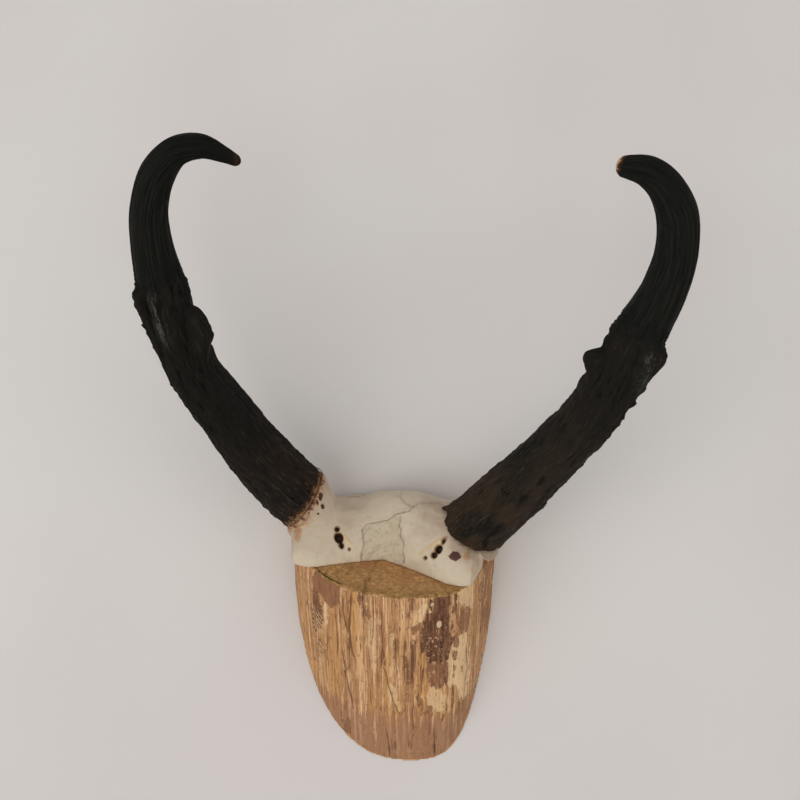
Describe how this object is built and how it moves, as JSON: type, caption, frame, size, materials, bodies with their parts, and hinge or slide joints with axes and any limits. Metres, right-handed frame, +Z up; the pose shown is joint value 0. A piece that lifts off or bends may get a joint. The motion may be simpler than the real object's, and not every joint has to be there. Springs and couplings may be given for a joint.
{
  "type": "mounted pronghorn horns",
  "caption": "Pair of black hooked pronghorn horns on a sawn skull cap, fixed to a leaning debarked log stub whose oblique back rests flat on a wall.",
  "frame": {"origin": "the point where the log's axis leaves its oblique back, in the plane of the wall", "axes": "+Z up the wall, +Y into the wall, +X to the viewer's right; the trophy stands out from the wall towards -Y"},
  "size_m": [0.2797, 0.1816, 0.3653],
  "materials": {
    "wood": "debarked, dry, matt",
    "bone": "bleached bone, satin",
    "horn": "dark keratin, rough with a dull sheen",
    "steel": "zinc plated"
  },
  "bodies": {
    "root": {"wood_block": "wood", "skull_plate": "bone", "horn_left": "horn", "horn_right": "horn", "skull_screw_left": "steel", "skull_screw_right": "steel", "hanger": "steel", "hanger_screw_left": "steel", "hanger_screw_right": "steel"}
  },
  "joints": []
}
